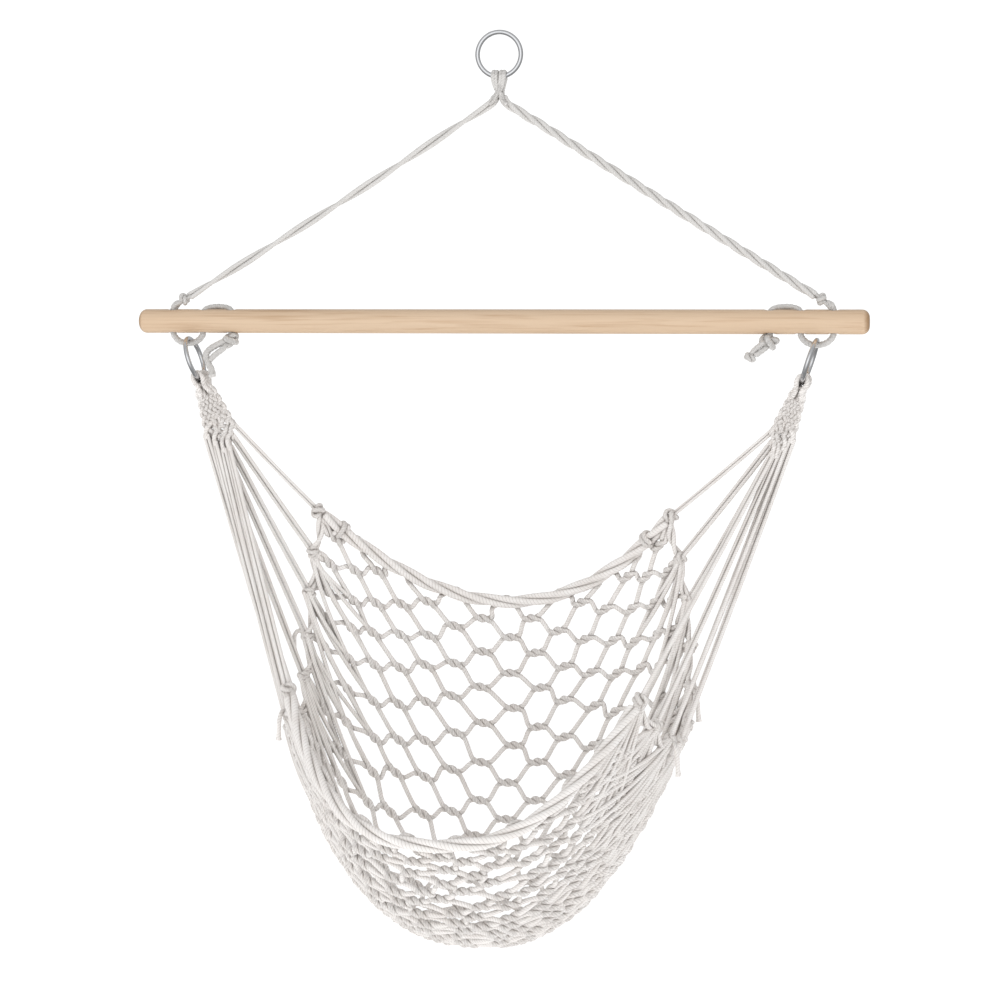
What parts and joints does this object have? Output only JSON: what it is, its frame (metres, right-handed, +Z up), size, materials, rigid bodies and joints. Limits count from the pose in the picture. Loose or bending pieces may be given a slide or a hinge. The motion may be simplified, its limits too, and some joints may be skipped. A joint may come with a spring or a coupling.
{
  "type": "rope hanging chair",
  "caption": "Rope net hanging chair: a ring and knotted rope bridle carry a drilled wooden spreader bar, and a sagging net seat hangs from side rings by fans of cords.",
  "frame": {"origin": "inside top of the hanging ring, where the hook carries it", "axes": "+Z up, +X along the spreader bar, -Y towards the open front of the seat"},
  "size_m": [0.92, 0.4029, 1.1331],
  "materials": {
    "ring_steel": "bright zinc or chrome plated round wire, welded",
    "pine": "light pine with a fine lengthwise grain, satin varnish",
    "bridle_rope": "natural off-white laid cotton rope, matt",
    "net_cord": "natural off-white three-strand laid cotton cord, matt"
  },
  "bodies": {
    "ring": {"top_ring": "ring_steel"},
    "hitch": {"ring_hitch": "bridle_rope"},
    "hanger": {"spreader_bar": "pine", "bridle_leg_left": "bridle_rope", "leg_knot_left": "bridle_rope", "bar_lashing_left": "bridle_rope", "stopper_knot_left": "bridle_rope", "stopper_tail_left": "bridle_rope", "bridle_leg_right": "bridle_rope", "leg_knot_right": "bridle_rope", "bar_lashing_right": "bridle_rope", "stopper_knot_right": "bridle_rope", "stopper_tail_right": "bridle_rope"},
    "side_ring_left": {"side_ring_left": "ring_steel"},
    "side_ring_right": {"side_ring_right": "ring_steel"},
    "seat": {"clew_head_left": "net_cord", "clew_head_right": "net_cord", "clew_cord_left_1": "net_cord", "clew_cord_left_2": "net_cord", "clew_cord_left_3": "net_cord", "clew_cord_left_4": "net_cord", "clew_cord_left_5": "net_cord", "clew_cord_left_6": "net_cord", "clew_cord_left_7": "net_cord", "clew_cord_left_8": "net_cord", "clew_cord_left_9": "net_cord", "clew_cord_left_10": "net_cord", "clew_cord_right_1": "net_cord", "clew_cord_right_2": "net_cord", "clew_cord_right_3": "net_cord", "clew_cord_right_4": "net_cord", "clew_cord_right_5": "net_cord", "clew_cord_right_6": "net_cord", "clew_cord_right_7": "net_cord", "clew_cord_right_8": "net_cord", "clew_cord_right_9": "net_cord", "clew_cord_right_10": "net_cord", "corner_knot_back_left": "net_cord", "corner_knot_front_left": "net_cord", "corner_knot_back_right": "net_cord", "corner_knot_front_right": "net_cord", "edge_rope_back": "net_cord", "edge_rope_front": "net_cord", "seat_net_back": "net_cord", "seat_net_pan_left": "net_cord", "seat_net_pan_middle": "net_cord", "seat_net_pan_right": "net_cord", "seat_net_front_left": "net_cord", "seat_net_front_middle": "net_cord", "seat_net_front_right": "net_cord", "cut_tail_left_1": "net_cord", "cut_tail_left_2": "net_cord", "cut_tail_right_1": "net_cord", "cut_tail_right_2": "net_cord"}
  },
  "joints": [
    {"name": "hammock_swing", "type": "hinge", "parent": "ring", "child": "hitch", "pos_m": [0, 0, -0.0525], "axis": [1, 0, 0], "range_deg": [-35, 35]},
    {"name": "hammock_sway", "type": "hinge", "parent": "hitch", "child": "hanger", "pos_m": [0, 0, -0.074], "axis": [0, 1, 0], "range_deg": [-12, 12]},
    {"name": "left_ring_swing", "type": "hinge", "parent": "hanger", "child": "side_ring_left", "pos_m": [-0.402, 0, -0.38], "axis": [1, 0, 0], "range_deg": [-30, 30]},
    {"name": "right_ring_swing", "type": "hinge", "parent": "hanger", "child": "side_ring_right", "pos_m": [0.392, 0, -0.38], "axis": [1, 0, 0], "range_deg": [-30, 30]},
    {"name": "seat_tilt", "type": "hinge", "parent": "side_ring_left", "child": "seat", "pos_m": [-0.3935, 0, -0.39965], "axis": [1, 0, 0], "range_deg": [-15, 15]}
  ],
  "couplings": [
    {"joint": "right_ring_swing", "follows": "left_ring_swing", "ratio": 1}
  ]
}
